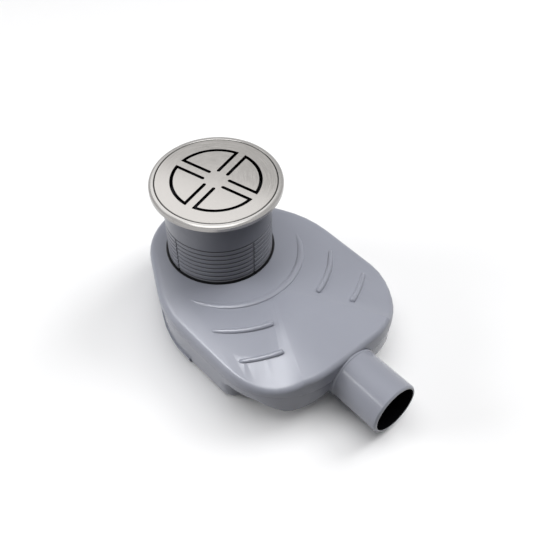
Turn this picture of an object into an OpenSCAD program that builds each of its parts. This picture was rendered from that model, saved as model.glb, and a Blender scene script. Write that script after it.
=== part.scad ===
// Shower drain with a flat side-outlet trap body, a height-adjustable riser and a round grate.
// The neck stands on the Z axis, the outlet points along +X, the body stands on z = 0. Millimetres.

/* [Heights] */
// top of the rim above the underside of the body
rim_top = 139; // [130:1:148]
// mouth of the riser socket above the underside
socket_top = 56; // [55.5:0.5:60]
// seam between the two body mouldings
seam_z = 44; // [42:0.5:44.5]
// underside of the shallow front part of the body
shelf_z = 27; // [25:0.5:29]
// crest of the weir that sets the water level
weir_z = 40; // [36:0.5:42]

/* [Body plan] */
// radius of the round back about the neck axis
back_r = 68; // [66:0.5:72]
// where the shoulder arc meets the straight side
shoulder_x = 53; // [50:0.5:57]
// radius of the shoulder arc
shoulder_r = 105; // [99:1:110]
// half the body width
half_w = 91.5; // [89:0.5:96]
// radius of the two front corners
corner_r = 66; // [60:1:72]
// front wall from the neck axis
front_x = 180; // [176:1:186]
// front wall of the deep pot
pot_x = 124; // [116:1:126]
// corner radius of the deep pot
pot_corner_r = 19; // [19:0.5:26]

/* [Body section] */
// wall thickness of both mouldings
wall = 3; // [2.4:0.1:3.4]
// rounding along the top edge
edge_r = 5; // [4.5:0.25:5.5]
// how far the side edges lie below the socket mouth
side_drop = 0.5; // [0:0.25:2]
// how far the middle of the front edge rises above the socket mouth
front_rise = 5.5; // [5:0.25:7]
// how far the front edge falls from its middle to the crease
crease_drop = 1.5; // [1:0.25:4]
// how far the side panels stand above the socket mouth near the crease
panel_rise = 0.5; // [0:0.25:2]
// how far the edge at the front corners lies below the socket mouth
corner_drop = 4.5; // [3:0.25:6]
// step from the lid in to the base at the seam
seam_step = 1; // [0.6:0.1:1.4]
// draft of the pot wall down to the bottom rounding
pot_draft = 2.5; // [1:0.25:3]
// bottom rounding of the pot
pot_round = 12; // [10:0.5:13]
// bottom rounding of the front part
shelf_round = 8; // [6:0.5:9]
// how far the front corners of the shallow part reach below its underside
corner_dip = 13.5; // [4:0.5:15]
// angle round each front corner at which it reaches lowest
dip_a = 36; // [20:1:45]
// height of the two foot bands
foot_h = 12; // [8:0.5:14]
// front end of the foot bands
foot_end = 60; // [50:1:64]
// inset of the foot bands from the body outline
foot_inset = 2; // [1.4:0.1:2.6]
// angle round each front corner at which the middle panel of the lid ends
crease_a = 24; // [20:1:30]

/* [Raised ribs on the lid] */
// height of the crescent bead around the neck
bead_h = 1.8; // [1.2:0.1:2.6]
// middle radius of the crescent bead
bead_r = 69; // [68.5:0.1:69.5]
// width of the crescent bead
bead_w = 6.8; // [5:0.1:7.2]
// width of the four short ribs
rib_w = 5.6; // [4:0.2:6]

/* [Riser and socket] */
// outside radius of the riser
riser_r = 49.8; // [49.2:0.1:50.2]
// wall of the riser
riser_wall = 2.5; // [2.2:0.1:2.8]
// length of riser inside the socket
riser_in = 20; // [16:0.5:22]
// spacing of the riser ribs
riser_pitch = 5.43; // [5.2:0.01:5.6]
// depth of the grooves between ribs
groove_d = 1.3; // [0.9:0.1:1.4]
// depth of the four lines down the riser
line_d = 0.7; // [0.4:0.1:1.2]
// number of grooves above the socket mouth
groove_n = 8; // [6:1:9]
// bore radius of the socket
socket_r = 51.2; // [51.1:0.1:52.2]
// height of the lip seal
seal_h = 6; // [5:0.25:7]
// running clearance between riser and its guides
run_gap = 0.06; // [0.03:0.01:0.1]

/* [Rim and grate] */
// outside radius of the rim
rim_r = 60.5; // [59.5:0.25:64]
// visible height of the rim band
rim_h = 5.9; // [5.8:0.1:7.5]
// rounding of the rim
rim_round = 2.6; // [2:0.1:3]
// radius of the grate disc
grate_r = 55; // [54.5:0.1:55.4]
// clearance around the grate disc
grate_gap = 0.8; // [0.6:0.1:1]
// thickness of the grate disc
grate_t = 2; // [1.5:0.1:2.2]
// turn of the slot cross about the neck axis
grate_turn = 15.5; // [0:0.5:89]
// middle radius of the arc slots
arc_slot_r = 40; // [36:0.5:41]
// width of every slot
slot_w = 3.2; // [2.6:0.1:3.6]
// slot centre line from the middle of the cross arm
slot_off = 5; // [4.5:0.1:6]
// start of the straight slots from the centre
slot_start = 11; // [9:0.5:14]

/* [Outlet] */
// outside radius of the outlet spigot
spigot_r = 25; // [24.5:0.1:25]
// wall of the spigot
spigot_wall = 2.7; // [2.3:0.1:3]
// how far the root ring stands proud of the spigot
root_h = 0.6; // [0.4:0.1:1]
// end of the spigot from the neck axis
spigot_end = 232; // [222:1:242]
// height of the spigot axis
spigot_z = 33; // [31.5:0.25:33.5]

/* [Trap insert and strainer] */
// outside radius of the dip tube
dip_r = 37.2; // [36:0.1:37.4]
// lower end of the dip tube above the underside
dip_z = 9; // [8:0.25:11]
// bore radius of the socket floor that takes the insert
seat_r = 40; // [39.8:0.1:40.4]
// underside of the socket floor
seat_z = 14; // [13:0.25:15]
// depth of the strainer basket
basket_h = 28; // [20:1:34]
// number of slots in the strainer wall
basket_n = 16; // [10:1:18]

/* [Hidden] */
fine = 96;

side_z = socket_top - side_drop;
crease_y = half_w - corner_r * (1 - sin(crease_a));
slope_a = asin((shoulder_r - back_r) / norm([shoulder_x, shoulder_r - half_w]))
    - atan2(shoulder_r - half_w, shoulder_x);
plateau_x = 12;
plateau_r = 66;
panel_k = 0.28;
ridge_k = 0.9;
ridge_t = 0.25;
fall_t = 0.45;
seat_top = seat_z + wall;
socket_wall = 2.5;
spigot_bore = spigot_r - spigot_wall;
riser_low = socket_top - riser_in;
riser_bore = riser_r - riser_wall;
rim_low = rim_top - rim_h;
ledge_z = rim_top - grate_t;
flange_top = ledge_z - 1.5;
neck_h = 18;
root_in = 8;
root_len = 1.2;
root_fade = 0.8;
seat_rim = 8;
grip_w = 6;
grip_h = 4;
basket_z = rim_top - 26.5;
oring_r = (seat_r - dip_r) / 2;
lid_gap = 0.3;
line_w = 1.8;

plastic = [0.62, 0.63, 0.68];
steel = [0.80, 0.78, 0.75];
rubber = [0.06, 0.06, 0.07];

// Plan outline as arcs. Each spot: centre x, centre y, radius, outward angle, plateau angle and
// height of the lid's edge, which falls a little from the middle of the front to the crease, then
// steeply to the corner, and comes up again towards the side. Last, the height of the panel a
// little way in from the edge.
function edge_z(a, y) = a <= crease_a
    ? socket_top + front_rise - crease_drop * pow(y / crease_y, 4)
    : let (t = (a - crease_a) / (90 - crease_a), v = max(0, (t - fall_t) / (1 - fall_t)))
        socket_top - corner_drop + (corner_drop - side_drop) * v * v * (3 - 2 * v)
            + (corner_drop + front_rise - crease_drop) * pow(max(0, 1 - t / fall_t), 2);
function panel_z(a, y) = a <= crease_a
    ? socket_top + ridge_k * (edge_z(a, y) - socket_top)
    : let (t = (a - crease_a) / (90 - crease_a))
        socket_top + panel_rise * (1 - t)
            + (ridge_k * (front_rise - crease_drop) - panel_rise) * pow(max(0, 1 - t / ridge_t), 1.3);
// Angles round a corner, closer together past the crease where e is above 1.
function bend(i, e) = i < 4 ? crease_a * i / 3 : crease_a + (90 - crease_a) * pow((i - 3) / 9, e);
function fan(a) = a <= crease_a ? 2 * a / crease_a
    : 2 + 60 * pow((a - crease_a) / (90 - crease_a), 1.8);
function lag(a) = a - (180 - a) / 22;
function half_spots(fx, cr, e) = concat(
    [[fx - cr, 0, cr, 0, 0, edge_z(0, 0), panel_z(0, 0)]],
    [for (i = [0:12]) let (a = bend(i, e), y = half_w - cr * (1 - sin(a)))
        [fx - cr, half_w - cr, cr, a, fan(a), edge_z(a, y), panel_z(a, y)]],
    [for (i = [0:4]) let (a = 90 + slope_a * i / 4)
        [shoulder_x, half_w - shoulder_r, shoulder_r, a, lag(a), side_z, side_z + 0.2]],
    [for (i = [0:9]) let (a = 90 + slope_a + (90 - slope_a) * i / 9)
        [0, 0, back_r, a, lag(a), side_z, side_z + 0.2]]
);
function both(h) = concat(h, [for (i = [len(h) - 2:-1:1])
    [h[i][0], -h[i][1], h[i][2], -h[i][3], -h[i][4], h[i][5], h[i][6]]]);
function ring(s, d, z) = [for (p = s) [p[0] + (p[2] - d) * cos(p[3]), p[1] + (p[2] - d) * sin(p[3]), z]];
function edge_ring(s, d, dz) = [for (p = s)
    [p[0] + (p[2] - d) * cos(p[3]), p[1] + (p[2] - d) * sin(p[3]), p[5] - dz]];
function plateau_ring(s, d, z) = [for (p = s)
    [plateau_x + (plateau_r - d) * cos(p[4]), (plateau_r - d) * sin(p[4]), z]];
function panel_ring(s, k, dz) = let (e = edge_ring(s, edge_r, 0), c = plateau_ring(s, 0, 0))
    [for (i = [0:len(s) - 1]) [e[i][0] * (1 - k) + c[i][0] * k,
        e[i][1] * (1 - k) + c[i][1] * k, s[i][6] - dz]];
// Quarter-round rings, from the flat floor at z up to the upright wall at inset d.
function bowl(s, d, r, z, n) = [for (i = [0:n])
    ring(s, d + r * (1 - sin(90 * i / n)), z + r * (1 - cos(90 * i / n)))];
// Quarter-round rings, from the upright wall up to the top face, following the edge height.
function roll(s, d, r, dz, n) = [for (i = [n:-1:0])
    edge_ring(s, d + r * (1 - sin(90 * i / n)), dz + r * (1 - cos(90 * i / n)))];

lid_spots = both(half_spots(front_x, corner_r, 1.4));
pot_spots = both(half_spots(pot_x, pot_corner_r, 1));

// Closed solid through a stack of rings that all have the same number of points.
module skin(rings) {
    n = len(rings[0]);
    m = len(rings);
    pts = [for (r = rings) for (p = r) p];
    walls = [for (k = [0:m - 2]) for (i = [0:n - 1])
        let (a = k * n + i, b = k * n + (i + 1) % n, c = a + n, d = b + n)
            each (i < n / 2 ? [[a, c, d], [a, d, b]] : [[a, c, b], [b, c, d]])];
    low = [[for (i = [0:n - 1]) i]];
    high = [[for (i = [n - 1:-1:0]) (m - 1) * n + i]];
    polyhedron(points = pts, faces = concat(low, walls, high), convexity = 8);
}

// Base moulding as one skin, g inside its outer face. Front spots run under the shallow part,
// the others straight up the wall of the pot.
function dip(a) = corner_dip * max(0, 1 - max((abs(a) - dip_a) / 26, (dip_a - abs(a)) / 60));
function taper(z) = seam_step + pot_draft * (seam_z - z) / (seam_z - pot_round);
function spot(p, d, z) = [p[0] + (p[2] - d) * cos(p[3]), p[1] + (p[2] - d) * sin(p[3]), z];
function base_rings(g, top) = concat(
    bowl(pot_spots, taper(pot_round) + g, pot_round - g, g, 5),
    [[for (p = pot_spots) spot(p, taper(shelf_z) + g, shelf_z + g)]],
    [for (i = [0:3]) let (r = shelf_round - g, z = shelf_z + g + 1.5 * i + 1.5)
        [for (p = lid_spots) abs(p[3]) < 89
            ? spot(p, seam_step + 0.6 + g + r * (1 - sin(30 * i)),
                shelf_z + g + r * (1 - cos(30 * i)) - dip(p[3]))
            : spot(p, taper(z) + g, z)]],
    [ring(lid_spots, seam_step + g, top)]
);

module along_x(x0, x1, z, r) {
    translate([x0, 0, z])
        rotate([0, 90, 0])
            cylinder(h = x1 - x0, r = r, $fn = fine);
}

// Half-round rib along an arc about cx, from angle a0 to a1, as wide as w and h high above its root.
// Its root runs from z0 to z1 and bows up by bow. The last argument lists its size at each step.
module arc_rib(cx, r, a0, a1, w, h, z0, z1, bow, sizes) {
    n = len(sizes) - 1;
    skin([for (i = [0:n])
        let (t = sizes[i][0], g = sizes[i][1], a = a0 + (a1 - a0) * t,
            z = z0 + (z1 - z0) * t + 4 * bow * t * (1 - t) - (1 - g) * h * 0.6)
        [for (k = [0:11]) let (q = r + w / 2 * g * sin(30 * k))
            [cx + q * cos(a), q * sin(a), z + (cos(30 * k) > 0 ? h * g : 2) * cos(30 * k)]]]);
}

// Crescent bead round the front of the neck, running out to nothing on both sides.
module crescent() {
    half = [for (i = [0:12]) [i / 24, i < 7 ? 0.16 + 0.84 * sin(90 * i / 7) : 1]];
    arc_rib(plateau_x, bead_r, -78, 78, bead_w, bead_h, socket_top - 0.1, socket_top - 0.1, 0.15,
        concat(half, [for (i = [11:-1:0]) [1 - half[i][0], half[i][1]]]));
}

// Short rib with a blunt inner end, sinking into the panel towards its outer end.
module short_rib(cx, r, a0, a1, z0, z1, bow) {
    arc_rib(cx, r, a0, a1, rib_w, 2.4, z0, z1, bow, [
        [0, 0.3], [0.01, 0.72], [0.03, 0.94], [0.06, 1], [0.2, 1], [0.35, 0.98], [0.5, 0.95],
        [0.65, 0.92], [0.8, 0.88], [0.9, 0.82], [0.96, 0.7], [0.985, 0.52], [1, 0.25]
    ]);
}

module slot_quarter() {
    lo = arc_slot_r - slot_w / 2;
    hi = arc_slot_r + slot_w / 2;
    edge = slot_off - slot_w / 2;
    intersection() {
        difference() {
            circle(r = hi, $fn = fine);
            circle(r = lo, $fn = fine);
        }
        translate([edge, edge])
            square(hi);
    }
    for (m = [0, 1])
        mirror([m, -m]) {
            translate([slot_start, edge])
                square([lo - slot_start + 0.6, slot_w]);
            translate([slot_start, slot_off])
                circle(d = slot_w, $fn = 24);
        }
}

module grate_disc() {
    color(steel)
        difference() {
            translate([0, 0, ledge_z])
                rotate_extrude($fn = 144)
                    polygon([
                        [0, 0], [grate_r - 0.3, 0], [grate_r, 0.3], [grate_r, grate_t - 0.4],
                        [grate_r - 0.4, grate_t], [0, grate_t]
                    ]);
            for (q = [0:3])
                rotate([0, 0, grate_turn + 90 * q])
                    translate([0, 0, ledge_z - 1])
                        linear_extrude(grate_t + 2)
                            slot_quarter();
        }
}

module rim_frame() {
    inner = grate_r + grate_gap;
    neck = riser_bore - 0.3;
    color(steel)
        rotate_extrude($fn = 144)
            polygon(concat(
                [[neck - 1.4, rim_top - neck_h], [neck, rim_top - neck_h], [neck, flange_top],
                    [rim_r - 1.6, flange_top], [rim_r - 1.6, rim_low + 0.3], [rim_r - 1.3, rim_low],
                    [rim_r - 0.3, rim_low], [rim_r, rim_low + 0.4]],
                [for (i = [0:6]) [rim_r - rim_round * (1 - cos(15 * i)),
                    rim_top - rim_round * (1 - sin(15 * i))]],
                [[inner + 0.4, rim_top], [inner, rim_top - 0.3], [inner, ledge_z],
                    [neck - 1.4, ledge_z]]
            ));
}

module riser_tube() {
    collar_low = socket_top + groove_n * riser_pitch - 2.7;
    color(plastic)
        difference() {
            rotate_extrude($fn = 120)
                polygon([
                    [riser_bore, riser_low], [riser_r - 0.8, riser_low], [riser_r, riser_low + 2],
                    [riser_r, flange_top - 4.7], [riser_r + 2.5, flange_top - 2.2],
                    [rim_r - 2.2, flange_top - 2.2], [rim_r - 2.2, flange_top], [riser_bore, flange_top],
                    [riser_bore, basket_z], [riser_bore - 3.5, basket_z], [riser_bore - 3.5, basket_z - 1.5],
                    [riser_bore, basket_z - 5]
                ]);
            for (k = [-2:groove_n - 1])
                translate([0, 0, collar_low - groove_n * riser_pitch + (k + 1) * riser_pitch])
                    rotate_extrude($fn = 120)
                        polygon([
                            [riser_r - groove_d, -0.5], [riser_r + 1, -1.9],
                            [riser_r + 1, 1.4], [riser_r - groove_d, 0.5]
                        ]);
            for (a = [0:90:270])
                rotate([0, 0, a])
                    translate([riser_r - line_d, -line_w / 2, riser_low - 1])
                        cube([5, line_w, collar_low - riser_low + 1.6]);
        }
}

module strainer_basket() {
    r1 = riser_bore - 5;
    r0 = r1 - 6;
    color(plastic)
        difference() {
            rotate_extrude($fn = fine)
                polygon([
                    [0, basket_z - basket_h], [r0 - 1, basket_z - basket_h],
                    [r0, basket_z - basket_h + 1], [r1, basket_z + 0.1], [riser_bore - 0.8, basket_z + 0.1],
                    [riser_bore - 0.8, basket_z + 2], [r1 - 2, basket_z + 2],
                    [r0 - 2, basket_z - basket_h + 2], [6, basket_z - basket_h + 2],
                    [5, basket_z - basket_h + 14], [3, basket_z - basket_h + 16], [0, basket_z - basket_h + 16]
                ]);
            for (i = [0:basket_n - 1])
                rotate([0, 0, 360 * i / basket_n])
                    translate([r0 - 6, -1.5, basket_z - basket_h + 6])
                        cube([20, 3, basket_h - 12]);
            for (i = [0:7])
                rotate([0, 0, 45 * i])
                    translate([12, -1.5, basket_z - basket_h - 1])
                        cube([r0 - 18, 3, 5]);
        }
}

module socket_seal() {
    inner = riser_r + run_gap;
    lip = (socket_r - inner) / 2;
    top = socket_top - 0.6;
    color(rubber)
        rotate_extrude($fn = 120)
            polygon([
                [inner, top - 1.2], [inner, top - seal_h + 2.4], [inner + lip, top - seal_h + 1.4],
                [inner + lip, top - seal_h], [socket_r, top - seal_h], [socket_r, top],
                [inner + lip, top], [inner + 0.2, top - 0.3]
            ]);
}

module lid_shell() {
    difference() {
        skin(concat(
            [ring(lid_spots, 0, seam_z)],
            roll(lid_spots, 0, edge_r, 0, 5),
            [panel_ring(lid_spots, panel_k, 0)],
            [plateau_ring(lid_spots, 0, socket_top)]
        ));
        skin(concat(
            [ring(lid_spots, wall, seam_z - 1)],
            roll(lid_spots, wall, edge_r - wall, wall, 3),
            [panel_ring(lid_spots, panel_k, wall)],
            [plateau_ring(lid_spots, 1, socket_top - wall)]
        ));
    }
    crescent();
    for (m = [0, 1])
        mirror([0, m, 0]) {
            short_rib(16, 94.8, 16.4, 50.5, socket_top + 0.8, socket_top + 0.1, 0);
            short_rib(18, 125.3, 19.4, 37.6, socket_top + 1.6, socket_top - 0.8, -0.2);
        }
}

module body_top() {
    color(plastic)
        difference() {
            union() {
                resize([front_x + back_r, 2 * half_w, 0])
                    lid_shell();
                translate([0, 0, seat_z])
                    cylinder(h = socket_top - seat_z - 0.4, r = socket_r + socket_wall, $fn = 120);
            }
            translate([0, 0, seat_top])
                cylinder(h = 80, r = socket_r, $fn = 120);
            translate([0, 0, seat_z - 1])
                cylinder(h = 20, r = seat_r, $fn = 120);
            along_x(front_x - 16, front_x + 12, spigot_z, spigot_r + root_h + lid_gap);
        }
}

module base_outer() {
    skin(base_rings(0, seam_z));
    intersection() {
        skin(concat(
            bowl(pot_spots, foot_inset, pot_round, 0, 4),
            [ring(pot_spots, foot_inset - 0.1, pot_round + 6)]
        ));
        translate([-14, -half_w - 5, -1])
            cube([foot_end + 14, 2 * half_w + 10, foot_h + 1]);
    }
    intersection() {
        along_x(pot_x - 8, front_x - 5, spigot_z, spigot_r + 1.5);
        translate([0, -60, 0])
            cube([front_x, 120, shelf_z + 4]);
    }
}

module base_shell() {
    difference() {
        base_outer();
        difference() {
            skin(base_rings(wall, seam_z + 1));
            translate([pot_x - 2 * wall, -200, -1])
                cube([wall, 400, weir_z + 1]);
        }
    }
}

module body_base() {
    long = spigot_end - front_x + root_in;
    root = root_in + root_len;
    color(plastic)
        difference() {
            union() {
                resize([front_x + back_r - 2 * seam_step, 2 * (half_w - seam_step), 0])
                    base_shell();
                translate([front_x - root_in, 0, spigot_z])
                    rotate([0, 90, 0])
                        rotate_extrude($fn = fine)
                            polygon([
                                [0, 0], [spigot_r + root_h, 0], [spigot_r + root_h, root],
                                [spigot_r, root + root_fade], [spigot_r, long - 1.5],
                                [spigot_r - 1.2, long], [0, long]
                            ]);
            }
            along_x(pot_x - 0.5, spigot_end + 1, spigot_z, spigot_bore);
        }
}

module trap_insert() {
    fl = riser_bore - 1;
    color(plastic) {
        rotate_extrude($fn = 120)
            polygon([
                [dip_r - 2, dip_z], [dip_r, dip_z], [dip_r, seat_z - 1.6], [seat_r - 0.5, seat_z - 1.2],
                [seat_r - 0.5, seat_z], [dip_r, seat_z], [dip_r, seat_top + 0.1], [fl, seat_top + 0.1],
                [fl, seat_top + seat_rim], [fl - 2, seat_top + seat_rim], [fl - 2, seat_top + 2.1], [dip_r - 2, seat_top + 2.1]
            ]);
        translate([-fl + 1, -grip_w / 2, seat_top + seat_rim - grip_h])
            cube([2 * fl - 2, grip_w, grip_h]);
    }
}

module trap_insert_seal() {
    color(rubber)
        translate([0, 0, seat_z + 1.5])
            rotate_extrude($fn = 120)
                translate([dip_r + oring_r, 0])
                    circle(r = oring_r, $fn = 24);
}

grate_disc();
rim_frame();
riser_tube();
strainer_basket();
socket_seal();
body_top();
body_base();
trap_insert();
trap_insert_seal();
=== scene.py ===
import bpy
import math
from mathutils import Matrix, Vector


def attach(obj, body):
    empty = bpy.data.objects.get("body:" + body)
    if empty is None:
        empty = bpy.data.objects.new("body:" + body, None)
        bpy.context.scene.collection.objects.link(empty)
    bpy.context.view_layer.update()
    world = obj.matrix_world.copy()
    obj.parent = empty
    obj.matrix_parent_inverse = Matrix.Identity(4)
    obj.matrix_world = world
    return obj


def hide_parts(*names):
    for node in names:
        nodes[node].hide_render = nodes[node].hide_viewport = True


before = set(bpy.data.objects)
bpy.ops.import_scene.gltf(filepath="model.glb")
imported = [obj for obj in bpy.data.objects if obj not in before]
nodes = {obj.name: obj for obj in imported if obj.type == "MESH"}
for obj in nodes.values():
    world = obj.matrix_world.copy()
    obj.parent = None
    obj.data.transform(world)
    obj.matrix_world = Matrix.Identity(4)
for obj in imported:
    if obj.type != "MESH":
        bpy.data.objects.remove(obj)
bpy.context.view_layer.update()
print("frame loaded:", ", ".join(sorted(nodes)))


# Camera at the photo's angle: degrees, millimetres of lens and sensor, metres
cameraSettings = {
    "azimuth": 47.602,
    "elevation": 48.8,
    "roll": 0.43,
    "lens": 54.69,
    "sensor": 36.0,
    "reach": 50.0,
    "place": (0.4564, -0.3388, 0.6498),
}


def makeCamera(s):
    az, el, roll = (math.radians(s[k]) for k in ("azimuth", "elevation", "roll"))
    ahead = Vector((-math.sin(az) * math.cos(el), math.cos(az) * math.cos(el), -math.sin(el)))
    side = Vector((math.cos(az), math.sin(az), 0.0))
    above = side.cross(ahead)
    right = side * math.cos(roll) + above * math.sin(roll)
    up = above * math.cos(roll) - side * math.sin(roll)
    data = bpy.data.cameras.new("camera")
    data.lens = s["lens"]
    data.sensor_width = s["sensor"]
    data.sensor_fit = "HORIZONTAL"
    data.clip_end = s["reach"]
    cam = bpy.data.objects.new("camera", data)
    bpy.context.scene.collection.objects.link(cam)
    turn = Matrix((right, up, -ahead)).transposed().to_4x4()
    cam.matrix_world = Matrix.Translation(Vector(s["place"])) @ turn
    bpy.context.scene.camera = cam


makeCamera(cameraSettings)
print("camera set")


# The two body mouldings are copied, merged and smoothed. An edge stays sharp where its faces meet
# at more than the angle, and along the lid's two creases. Each crease runs between the two given
# points (x, y), and as their mirror image, above the height creaseLow.
shellSettings = {
    "lid": {
        "node": "body_top",
        "angle": 24.0,
        "creases": ((0.079, 0.0), (0.172, 0.0515)),
        "creaseLow": 0.0553,
    },
    "base": {
        "node": "body_base",
        "angle": 30.0,
    },
}
smoothing = {"merge": 0.00001, "weight": 50, "creaseReach": 0.0009, "creaseLead": -0.02}


def nearCrease(edge, verts, s):
    (x0, y0), (x1, y1) = s["creases"]
    for v in edge.vertices:
        x, y, z = verts[v].co
        along = (x - x0) / (x1 - x0)
        aside = abs(abs(y) - y0 - along * (y1 - y0))
        if z < s["creaseLow"] or along < smoothing["creaseLead"]:
            return False
        if aside > smoothing["creaseReach"]:
            return False
    return True


def markCreases(mesh, s):
    bpy.ops.object.mode_set(mode="EDIT")
    bpy.ops.mesh.select_mode(type="EDGE")
    bpy.ops.mesh.select_all(action="DESELECT")
    bpy.ops.object.mode_set(mode="OBJECT")
    for e in mesh.edges:
        e.select = nearCrease(e, mesh.vertices, s)
    bpy.ops.object.mode_set(mode="EDIT")
    bpy.ops.mesh.mark_sharp()
    bpy.ops.object.mode_set(mode="OBJECT")


def smoothShell(name, s):
    mesh = nodes[s["node"]].data.copy()
    piece = bpy.data.objects.new(name, mesh)
    bpy.context.scene.collection.objects.link(piece)
    bpy.ops.object.select_all(action="DESELECT")
    piece.select_set(True)
    bpy.context.view_layer.objects.active = piece
    if mesh.has_custom_normals:
        bpy.ops.mesh.customdata_custom_splitnormals_clear()
    bpy.ops.object.mode_set(mode="EDIT")
    bpy.ops.mesh.select_all(action="SELECT")
    bpy.ops.mesh.remove_doubles(threshold=smoothing["merge"])
    bpy.ops.object.mode_set(mode="OBJECT")
    bpy.ops.object.shade_smooth_by_angle(angle=math.radians(s["angle"]))
    even = piece.modifiers.new("evenShading", "WEIGHTED_NORMAL")
    even.keep_sharp = True
    even.weight = smoothing["weight"]
    if "creases" in s:
        markCreases(mesh, s)
    bpy.ops.object.modifier_apply(modifier=even.name)
    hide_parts(s["node"])
    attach(piece, "trap_body")
    return piece


shells = {s["node"]: smoothShell(name, s) for name, s in shellSettings.items()}
print("body shells smoothed")


# A value goes to the node's own property where it has one, otherwise to the input of that name
def addNode(tree, kind, place=(0, 0), **values):
    n = tree.nodes.new(kind)
    n.location = place
    for k, v in values.items():
        if hasattr(n, k):
            setattr(n, k, v)
        else:
            n.inputs[k.replace("_", " ")].default_value = v
    return n


def addRange(tree, place, spanIn, spanOut):
    n = addNode(tree, "ShaderNodeMapRange", place)
    for end, low, high in (("From", *spanIn), ("To", *spanOut)):
        n.inputs[end + " Min"].default_value = low
        n.inputs[end + " Max"].default_value = high
    return n


def addMath(tree, place, operation, second=None):
    n = addNode(tree, "ShaderNodeMath", place, operation=operation)
    if second is not None:
        n.inputs[1].default_value = second
    return n


def addVector(tree, place, operation, second=None):
    n = addNode(tree, "ShaderNodeVectorMath", place, operation=operation)
    if second is not None:
        n.inputs[1].default_value = second
    return n


def joinUp(tree, *pairs):
    for start, end in pairs:
        tree.links.new(start, end)


def newMaterial(name):
    m = bpy.data.materials.new(name)
    m.use_nodes = True
    m.node_tree.nodes.clear()
    out = addNode(m.node_tree, "ShaderNodeOutputMaterial", (900, 0))
    bsdf = addNode(m.node_tree, "ShaderNodeBsdfPrincipled", (600, 0))
    joinUp(m.node_tree, (bsdf.outputs[0], out.inputs[0]))
    return m, m.node_tree, bsdf


# Fine grain for the bump and broad patches, a little lighter and darker, for the colour
grainSettings = {
    "scale": 900.0,
    "tone": 0.05,
    "fineDetail": 3.0,
    "fineRough": 0.6,
    "broadScale": 14.0,
    "broadDetail": 3.0,
    "broadRough": 0.55,
    "broadSpan": (0.3, 0.7),
}


def buildGrain(s):
    g = bpy.data.node_groups.new("mouldGrain", "ShaderNodeTree")
    face = g.interface
    face.new_socket("Vector", in_out="INPUT", socket_type="NodeSocketVector")
    for name in ("Scale", "Tone"):
        socket = face.new_socket(name, in_out="INPUT", socket_type="NodeSocketFloat")
        socket.default_value = s[name.lower()]
    face.new_socket("Height", in_out="OUTPUT", socket_type="NodeSocketFloat")
    face.new_socket("Shade", in_out="OUTPUT", socket_type="NodeSocketFloat")
    gin = addNode(g, "NodeGroupInput", (-700, 0))
    gout = addNode(g, "NodeGroupOutput", (500, 0))
    fine = addNode(g, "ShaderNodeTexNoise", (-400, 150),
                   Detail=s["fineDetail"], Roughness=s["fineRough"])
    broad = addNode(g, "ShaderNodeTexNoise", (-400, -150), Scale=s["broadScale"],
                    Detail=s["broadDetail"], Roughness=s["broadRough"])
    ranged = addRange(g, (-100, -150), s["broadSpan"], (1.0, 1.0))
    darker = addMath(g, (-300, -400), "SUBTRACT")
    lighter = addMath(g, (-300, -560), "ADD")
    for n in (darker, lighter):
        n.inputs[0].default_value = 1.0
        joinUp(g, (gin.outputs["Tone"], n.inputs[1]))
    joinUp(
        g,
        (gin.outputs["Vector"], fine.inputs["Vector"]),
        (gin.outputs["Vector"], broad.inputs["Vector"]),
        (gin.outputs["Scale"], fine.inputs["Scale"]),
        (broad.outputs[0], ranged.inputs["Value"]),
        (darker.outputs[0], ranged.inputs["To Min"]),
        (lighter.outputs[0], ranged.inputs["To Max"]),
        (fine.outputs[0], gout.inputs["Height"]),
        (ranged.outputs[0], gout.inputs["Shade"]),
    )
    return g


grainGroup = buildGrain(grainSettings)


def addGrain(tree, coord, scale):
    n = addNode(tree, "ShaderNodeGroup", (-350, 0))
    n.node_tree = grainGroup
    n.inputs["Scale"].default_value = scale
    joinUp(tree, (coord, n.inputs["Vector"]))
    return n


# The colour times a shade that varies over the surface
def tinted(tree, place, color, shade):
    mix = addNode(tree, "ShaderNodeMix", place, data_type="RGBA", blend_type="MULTIPLY")
    mix.inputs[0].default_value = 1.0
    mix.inputs[6].default_value = (*color, 1.0)
    joinUp(tree, (shade, mix.inputs[7]))
    return mix.outputs[2]


# The tone, with painted shade in the dark colour where the mask is 1
def withPaintedShade(tree, tone, mask, color):
    dark = addNode(tree, "ShaderNodeMix", (350, 250), data_type="RGBA")
    dark.inputs[7].default_value = (*color, 1.0)
    joinUp(tree, (mask, dark.inputs[0]), (tone, dark.inputs[6]))
    return dark.outputs[2]


# A bore is a cylinder round its centre: across picks the two directions that cross its axis, and it
# begins at start along X. Those round Z have no start. Inside a bore the colour is painted near
# black as shade. The lid's bore reaches out over its socket's chamfer, so the ring round the riser
# is painted shade as well.
noStart = -1.0
roundZ = {"centre": (0.0, 0.0, 0.0), "across": (1.0, 1.0, 0.0), "start": noStart}
neckBore = {**roundZ, "radius": 0.0521}
riserBore = {**roundZ, "radius": 0.0476}
spigotBore = {
    "centre": (0.0, 0.0, 0.033),
    "across": (0.0, 1.0, 1.0),
    "start": 0.1,
    "radius": 0.02245,
}
# Painted shade: the near-black colour inside the bores
boreShadeColor = (0.003, 0.003, 0.004)


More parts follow.
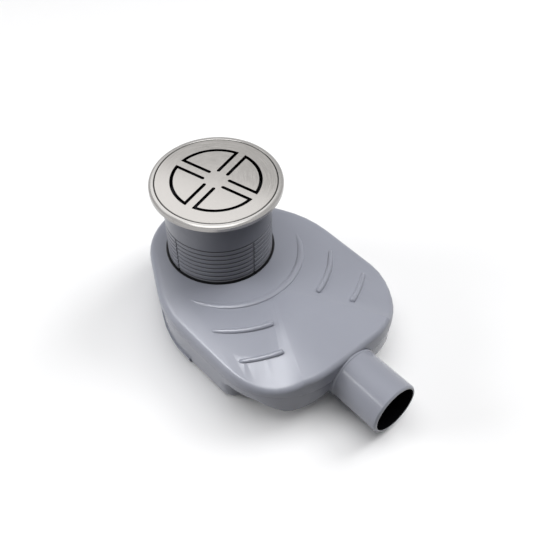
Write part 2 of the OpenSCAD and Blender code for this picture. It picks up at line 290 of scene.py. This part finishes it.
# 1 inside the bore, 0 outside
def boreMask(tree, coord, s):
    centred = addVector(tree, (-600, 400), "SUBTRACT", s["centre"])
    across = addVector(tree, (-420, 400), "MULTIPLY", s["across"])
    reach = addVector(tree, (-240, 400), "LENGTH")
    inside = addMath(tree, (-60, 400), "LESS_THAN", s["radius"])
    parts = addNode(tree, "ShaderNodeSeparateXYZ", (-420, 560))
    past = addMath(tree, (-240, 560), "GREATER_THAN", s["start"])
    both = addMath(tree, (120, 480), "MULTIPLY")
    joinUp(
        tree,
        (coord, centred.inputs[0]),
        (centred.outputs[0], across.inputs[0]),
        (across.outputs[0], reach.inputs[0]),
        (reach.outputs["Value"], inside.inputs[0]),
        (coord, parts.inputs[0]),
        (parts.outputs["X"], past.inputs[0]),
        (inside.outputs[0], both.inputs[0]),
        (past.outputs[0], both.inputs[1]),
    )
    return both.outputs[0]


# The rings of the riser: painted shade in the grooves, a painted highlight on the lands, and
# painted shade at the socket's mouth
def paintedRingShading(tree, coord, tone, s):
    flat = addVector(tree, (-240, 700), "MULTIPLY", roundZ["across"])
    reach = addVector(tree, (-60, 700), "LENGTH")
    land = addRange(tree, (120, 700), s["depth"], s["tones"])
    parts = addNode(tree, "ShaderNodeSeparateXYZ", (-60, 900))
    seat = addRange(tree, (120, 900), s["seat"], (s["seatShade"], 1.0))
    both = addMath(tree, (300, 800), "MULTIPLY")
    scaled = addVector(tree, (520, 700), "SCALE")
    joinUp(
        tree,
        (coord, flat.inputs[0]),
        (flat.outputs[0], reach.inputs[0]),
        (reach.outputs["Value"], land.inputs["Value"]),
        (coord, parts.inputs[0]),
        (parts.outputs["Z"], seat.inputs["Value"]),
        (land.outputs[0], both.inputs[0]),
        (seat.outputs[0], both.inputs[1]),
        (tone, scaled.inputs[0]),
        (both.outputs[0], scaled.inputs["Scale"]),
    )
    return scaled.outputs[0]


bodyColor = (0.258, 0.268, 0.312)
plasticSettings = {
    "lid": {
        "color": bodyColor,
        "rough": 0.32,
        "grain": 1300.0,
        "bump": 0.10,
        "tone": 0.03,
        "soft": 0.0004,
        "gloss": 0.5,
        "bore": neckBore,
    },
    "base": {
        "color": bodyColor,
        "rough": 0.20,
        "grain": 1300.0,
        "bump": 0.10,
        "tone": 0.03,
        "soft": 0.0006,
        "gloss": 0.5,
        "bore": spigotBore,
    },
    "riser": {
        "color": (0.155, 0.159, 0.180),
        "rough": 0.34,
        "grain": 1500.0,
        "bump": 0.08,
        "tone": 0.03,
        "soft": 0.0003,
        "gloss": 0.35,
        "bore": riserBore,
        # Painted shade in the grooves and at the socket's mouth, painted highlight on the lands
        "rings": {
            "depth": (0.0486, 0.0496),
            "tones": (0.28, 1.3),
            "seat": (0.0566, 0.0582),
            "seatShade": 0.12,
        },
    },
    "insert": {
        "color": (0.060, 0.062, 0.070),
        "rough": 0.45,
        "grain": 1300.0,
        "bump": 0.10,
        "tone": 0.03,
        "soft": 0.0003,
        "gloss": 0.4,
    },
}
mouldDepth = 0.0002
plasticRange = {"smoother": 0.05, "rougher": 0.06}
plasticIndex = 1.48
softSamples = 6


def plasticMaterial(name, s):
    m, t, bsdf = newMaterial(name)
    coord = addNode(t, "ShaderNodeTexCoord", (-600, 0)).outputs["Object"]
    grain = addGrain(t, coord, s["grain"])
    grain.inputs["Tone"].default_value = s["tone"]
    tone = tinted(t, (100, 150), s["color"], grain.outputs["Shade"])
    bump = addNode(t, "ShaderNodeBump", (100, -250), Strength=s["bump"], Distance=mouldDepth)
    softened = addNode(t, "ShaderNodeBevel", (-100, -420), Radius=s["soft"])
    softened.samples = softSamples
    roughSpan = (s["rough"] - plasticRange["smoother"], s["rough"] + plasticRange["rougher"])
    rough = addRange(t, (100, -50), (0.0, 1.0), roughSpan)
    # Painted shade: near black inside the bore
    if "bore" in s:
        tone = withPaintedShade(t, tone, boreMask(t, coord, s["bore"]), boreShadeColor)
    # Painted shade and painted highlight on the riser's rings
    if "rings" in s:
        tone = paintedRingShading(t, coord, tone, s["rings"])
    joinUp(
        t,
        (grain.outputs["Height"], bump.inputs["Height"]),
        (softened.outputs[0], bump.inputs["Normal"]),
        (grain.outputs["Height"], rough.inputs["Value"]),
        (tone, bsdf.inputs["Base Color"]),
        (rough.outputs[0], bsdf.inputs["Roughness"]),
        (bump.outputs[0], bsdf.inputs["Normal"]),
    )
    bsdf.inputs["IOR"].default_value = plasticIndex
    bsdf.inputs["Specular IOR Level"].default_value = s["gloss"]
    return m


# Lines and length set the strokes of the turned finish. Below the height low and within the radius
# the colour is painted near black as shade, in the gap round the grate and in its slots.
steelSettings = {
    "grate": {
        "color": (0.368, 0.355, 0.341),
        "rough": 0.20,
        "bump": 0.12,
        "stretch": 0.45,
        "lines": 1500.0,
        "length": 3.0,
        "low": 0.1384,
        "within": 0.0548,
    },
    "rim": {
        "color": (0.37, 0.36, 0.35),
        "rough": 0.20,
        "bump": 0.06,
        "stretch": 0.3,
        "lines": 1500.0,
        "length": 3.0,
        "low": 0.1384,
        "within": 0.0560,
    },
}
strokeSettings = {
    "detail": 4.0,
    "broken": 0.65,
    "span": (0.3, 0.7),
    "shades": (0.93, 1.05),
    "smoother": 0.06,
    "rougher": 0.08,
    "depth": 0.00008,
    "quarterTurn": 0.25,
}
# Painted shade in the gap round the grate and in its slots
gapShadeColor = (0.01, 0.01, 0.01)


# Noise squeezed into fine strokes that follow circles round Z
def turnedStrokes(tree, coord, parts, s):
    flat = addVector(tree, (-900, -300), "MULTIPLY", roundZ["across"])
    reach = addVector(tree, (-750, -300), "LENGTH")
    facing = addVector(tree, (-750, -450), "NORMALIZE")
    across = addMath(tree, (-600, -200), "ADD")
    lines = addMath(tree, (-500, -300), "MULTIPLY", s["lines"])
    along = addVector(tree, (-500, -450), "SCALE")
    along.inputs["Scale"].default_value = s["length"]
    swing = addNode(tree, "ShaderNodeSeparateXYZ", (-400, -450))
    spot = addNode(tree, "ShaderNodeCombineXYZ", (-350, -250))
    strokes = addNode(tree, "ShaderNodeTexNoise", (-280, 0), Scale=1.0,
                      Detail=strokeSettings["detail"], Roughness=strokeSettings["broken"])
    joinUp(
        tree,
        (coord, flat.inputs[0]),
        (flat.outputs[0], reach.inputs[0]),
        (flat.outputs[0], facing.inputs[0]),
        (reach.outputs["Value"], across.inputs[0]),
        (parts.outputs["Z"], across.inputs[1]),
        (across.outputs[0], lines.inputs[0]),
        (facing.outputs[0], along.inputs[0]),
        (along.outputs[0], swing.inputs[0]),
        (lines.outputs[0], spot.inputs["X"]),
        (swing.outputs["X"], spot.inputs["Y"]),
        (swing.outputs["Y"], spot.inputs["Z"]),
        (spot.outputs[0], strokes.inputs["Vector"]),
    )
    return strokes.outputs[0]


def steelMaterial(name, s):
    m, t, bsdf = newMaterial(name)
    coord = addNode(t, "ShaderNodeTexCoord", (-900, 0)).outputs["Object"]
    parts = addNode(t, "ShaderNodeSeparateXYZ", (-750, 150))
    strokes = turnedStrokes(t, coord, parts, s)
    circling = addNode(t, "ShaderNodeTangent", (350, -400))
    circling.direction_type, circling.axis = "RADIAL", "Z"
    span = strokeSettings["span"]
    shade = addRange(t, (-50, 120), span, strokeSettings["shades"])
    tone = tinted(t, (180, 150), s["color"], shade.outputs[0])
    roughSpan = (s["rough"] - strokeSettings["smoother"], s["rough"] + strokeSettings["rougher"])
    rough = addRange(t, (-50, -130), span, roughSpan)
    bump = addNode(t, "ShaderNodeBump", (180, -250), Strength=s["bump"],
                   Distance=strokeSettings["depth"])
    # Painted shade: near black below the height low and within the radius
    deep = addMath(t, (-250, 500), "LESS_THAN", s["low"])
    both = addMath(t, (100, 450), "MULTIPLY")
    inside = boreMask(t, coord, {**roundZ, "radius": s["within"]})
    tone = withPaintedShade(t, tone, both.outputs[0], gapShadeColor)
    joinUp(
        t,
        (coord, parts.inputs[0]),
        (strokes, shade.inputs["Value"]),
        (strokes, rough.inputs["Value"]),
        (strokes, bump.inputs["Height"]),
        (parts.outputs["Z"], deep.inputs[0]),
        (deep.outputs[0], both.inputs[0]),
        (inside, both.inputs[1]),
        (tone, bsdf.inputs["Base Color"]),
        (rough.outputs[0], bsdf.inputs["Roughness"]),
        (bump.outputs[0], bsdf.inputs["Normal"]),
        (circling.outputs[0], bsdf.inputs["Tangent"]),
    )
    bsdf.inputs["Metallic"].default_value = 1.0
    bsdf.inputs["Anisotropic"].default_value = s["stretch"]
    bsdf.inputs["Anisotropic Rotation"].default_value = strokeSettings["quarterTurn"]
    return m


rubberSettings = {"color": (0.012, 0.012, 0.014), "grain": 1800.0, "bump": 0.15, "rough": 0.6}


def rubberMaterial(name, s):
    m, t, bsdf = newMaterial(name)
    coord = addNode(t, "ShaderNodeTexCoord", (-600, 0)).outputs["Object"]
    grain = addGrain(t, coord, s["grain"])
    tone = tinted(t, (100, 150), s["color"], grain.outputs["Shade"])
    bump = addNode(t, "ShaderNodeBump", (100, -250), Strength=s["bump"], Distance=mouldDepth)
    joinUp(
        t,
        (grain.outputs["Height"], bump.inputs["Height"]),
        (tone, bsdf.inputs["Base Color"]),
        (bump.outputs[0], bsdf.inputs["Normal"]),
    )
    bsdf.inputs["Roughness"].default_value = s["rough"]
    return m


finishes = {
    "body_top": plasticMaterial("lidPlastic", plasticSettings["lid"]),
    "body_base": plasticMaterial("basePlastic", plasticSettings["base"]),
    "riser_tube": plasticMaterial("riserPlastic", plasticSettings["riser"]),
    "trap_insert": plasticMaterial("insertPlastic", plasticSettings["insert"]),
    "grate_disc": steelMaterial("grateSteel", steelSettings["grate"]),
    "rim_frame": steelMaterial("rimSteel", steelSettings["rim"]),
    "socket_seal": rubberMaterial("blackRubber", rubberSettings),
}
finishes["strainer_basket"] = finishes["trap_insert"]
finishes["trap_insert_seal"] = finishes["socket_seal"]

for name, obj in list(nodes.items()) + list(shells.items()):
    obj.data.materials.clear()
    obj.data.materials.append(finishes[name])
print("materials placed on", len(nodes), "pieces")


# The floor shows its pale colour to the camera and in reflections, and sends little light back up
# to the object. Its radius keeps it to the part that the lamps light evenly.
floorSettings = {
    "radius": 0.85,
    "corners": 128,
    "place": (0.08, 0.0, -0.0002),
    "seenColor": (0.90, 0.90, 0.905),
    "bounceColor": (0.30, 0.30, 0.31),
    "rough": 0.9,
}
worldSettings = {
    "fillColor": (0.95, 0.97, 1.0),
    "fill": 0.0,
    "seenColor": (1.0, 1.0, 1.0),
    "seen": 1.0,
}


# 1 where the camera, a reflection or glass looks at the surface
def seenDirectly(tree):
    path = addNode(tree, "ShaderNodeLightPath", (-500, 300))
    orGlossy = addMath(tree, (-300, 300), "MAXIMUM")
    orClear = addMath(tree, (-120, 300), "MAXIMUM")
    joinUp(
        tree,
        (path.outputs["Is Camera Ray"], orGlossy.inputs[0]),
        (path.outputs["Is Glossy Ray"], orGlossy.inputs[1]),
        (orGlossy.outputs[0], orClear.inputs[0]),
        (path.outputs["Is Transmission Ray"], orClear.inputs[1]),
    )
    return orClear.outputs[0]


def makeFloor(s):
    bpy.ops.object.select_all(action="DESELECT")
    bpy.ops.mesh.primitive_circle_add(radius=s["radius"], vertices=s["corners"],
                                      fill_type="NGON", location=s["place"])
    floor = bpy.context.object
    floor.name = "floor"
    m, t, bsdf = newMaterial("floorWhite")
    mix = addNode(t, "ShaderNodeMix", (200, 100), data_type="RGBA")
    mix.inputs[6].default_value = (*s["bounceColor"], 1.0)
    mix.inputs[7].default_value = (*s["seenColor"], 1.0)
    joinUp(t, (seenDirectly(t), mix.inputs[0]), (mix.outputs[2], bsdf.inputs["Base Color"]))
    bsdf.inputs["Roughness"].default_value = s["rough"]
    floor.data.materials.append(m)


def makeWorld(s):
    world = bpy.data.worlds.new("studio")
    bpy.context.scene.world = world
    world.use_nodes = True
    t = world.node_tree
    t.nodes.clear()
    out = addNode(t, "ShaderNodeOutputWorld", (600, 0))
    fill = addNode(t, "ShaderNodeBackground", (0, 100),
                   Color=(*s["fillColor"], 1.0), Strength=s["fill"])
    white = addNode(t, "ShaderNodeBackground", (0, -100),
                    Color=(*s["seenColor"], 1.0), Strength=s["seen"])
    mix = addNode(t, "ShaderNodeMixShader", (300, 0))
    joinUp(
        t,
        (seenDirectly(t), mix.inputs[0]),
        (fill.outputs[0], mix.inputs[1]),
        (white.outputs[0], mix.inputs[2]),
        (mix.outputs[0], out.inputs[0]),
    )


# Three soft lamps light everything. The other four are only seen as reflections, each on the pieces
# that it is set up for. A lamp without a turn points at the object.
lampAim = Vector((0.06, 0.0, 0.05))
steelPieces = ["grate_disc", "rim_frame"]
lampSettings = [
    {
        "name": "overhead",
        "place": (0.15, 0.0, 1.9),
        "size": (1.8, 1.8),
        "glow": 2.9,
    },
    {
        "name": "backRight",
        "place": (0.3, 1.2, 1.4),
        "size": (0.9, 0.9),
        "glow": 7.0,
    },
    {
        "name": "leftLow",
        "place": (-0.9, -1.3, 0.6),
        "size": (0.9, 0.9),
        "glow": 7.9,
    },
    {
        "name": "steelBox",
        "place": (-0.169, 0.0395, 0.402),
        "size": (0.3, 0.3),
        "glow": 1.15,
        "turn": (0.0, 0.0, 26.0),
        "only": steelPieces,
    },
    {
        "name": "steelTop",
        "place": (0.3, -0.3, 1.6),
        "size": (1.4, 1.4),
        "glow": 2.2,
        "only": steelPieces,
    },
    {
        "name": "cornerBox",
        "place": (-0.12, -0.06, 0.58),
        "size": (0.44, 0.2),
        "glow": 11.0,
        "turn": (0.0, 0.0, 0.0),
        "only": ["body_top"],
    },
    {
        "name": "spigotStrip",
        "place": (-0.237, -0.579, 0.584),
        "size": (0.5, 0.025),
        "glow": 22.0,
        "only": ["body_base"],
    },
]


def makeLamp(s):
    data = bpy.data.lights.new(s["name"], "AREA")
    data.shape = "RECTANGLE"
    data.size, data.size_y = s["size"]
    data.energy = s["glow"] * math.pi * data.size * data.size_y
    lamp = bpy.data.objects.new(s["name"], data)
    bpy.context.scene.collection.objects.link(lamp)
    lamp.location = s["place"]
    if "turn" in s:
        lamp.rotation_euler = [math.radians(a) for a in s["turn"]]
    else:
        lamp.rotation_euler = (lampAim - lamp.location).to_track_quat("-Z", "Y").to_euler()
    lamp.visible_camera = False
    if "only" in s:
        lamp.visible_diffuse = False
        group = bpy.data.collections.new(s["name"] + "Pieces")
        for name in s["only"]:
            group.objects.link(shells.get(name) or nodes[name])
        lamp.light_linking.receiver_collection = group
    else:
        lamp.visible_glossy = False


makeFloor(floorSettings)
makeWorld(worldSettings)
for lampRow in lampSettings:
    makeLamp(lampRow)
bpy.context.scene.view_settings.view_transform = "Standard"
print("studio set")
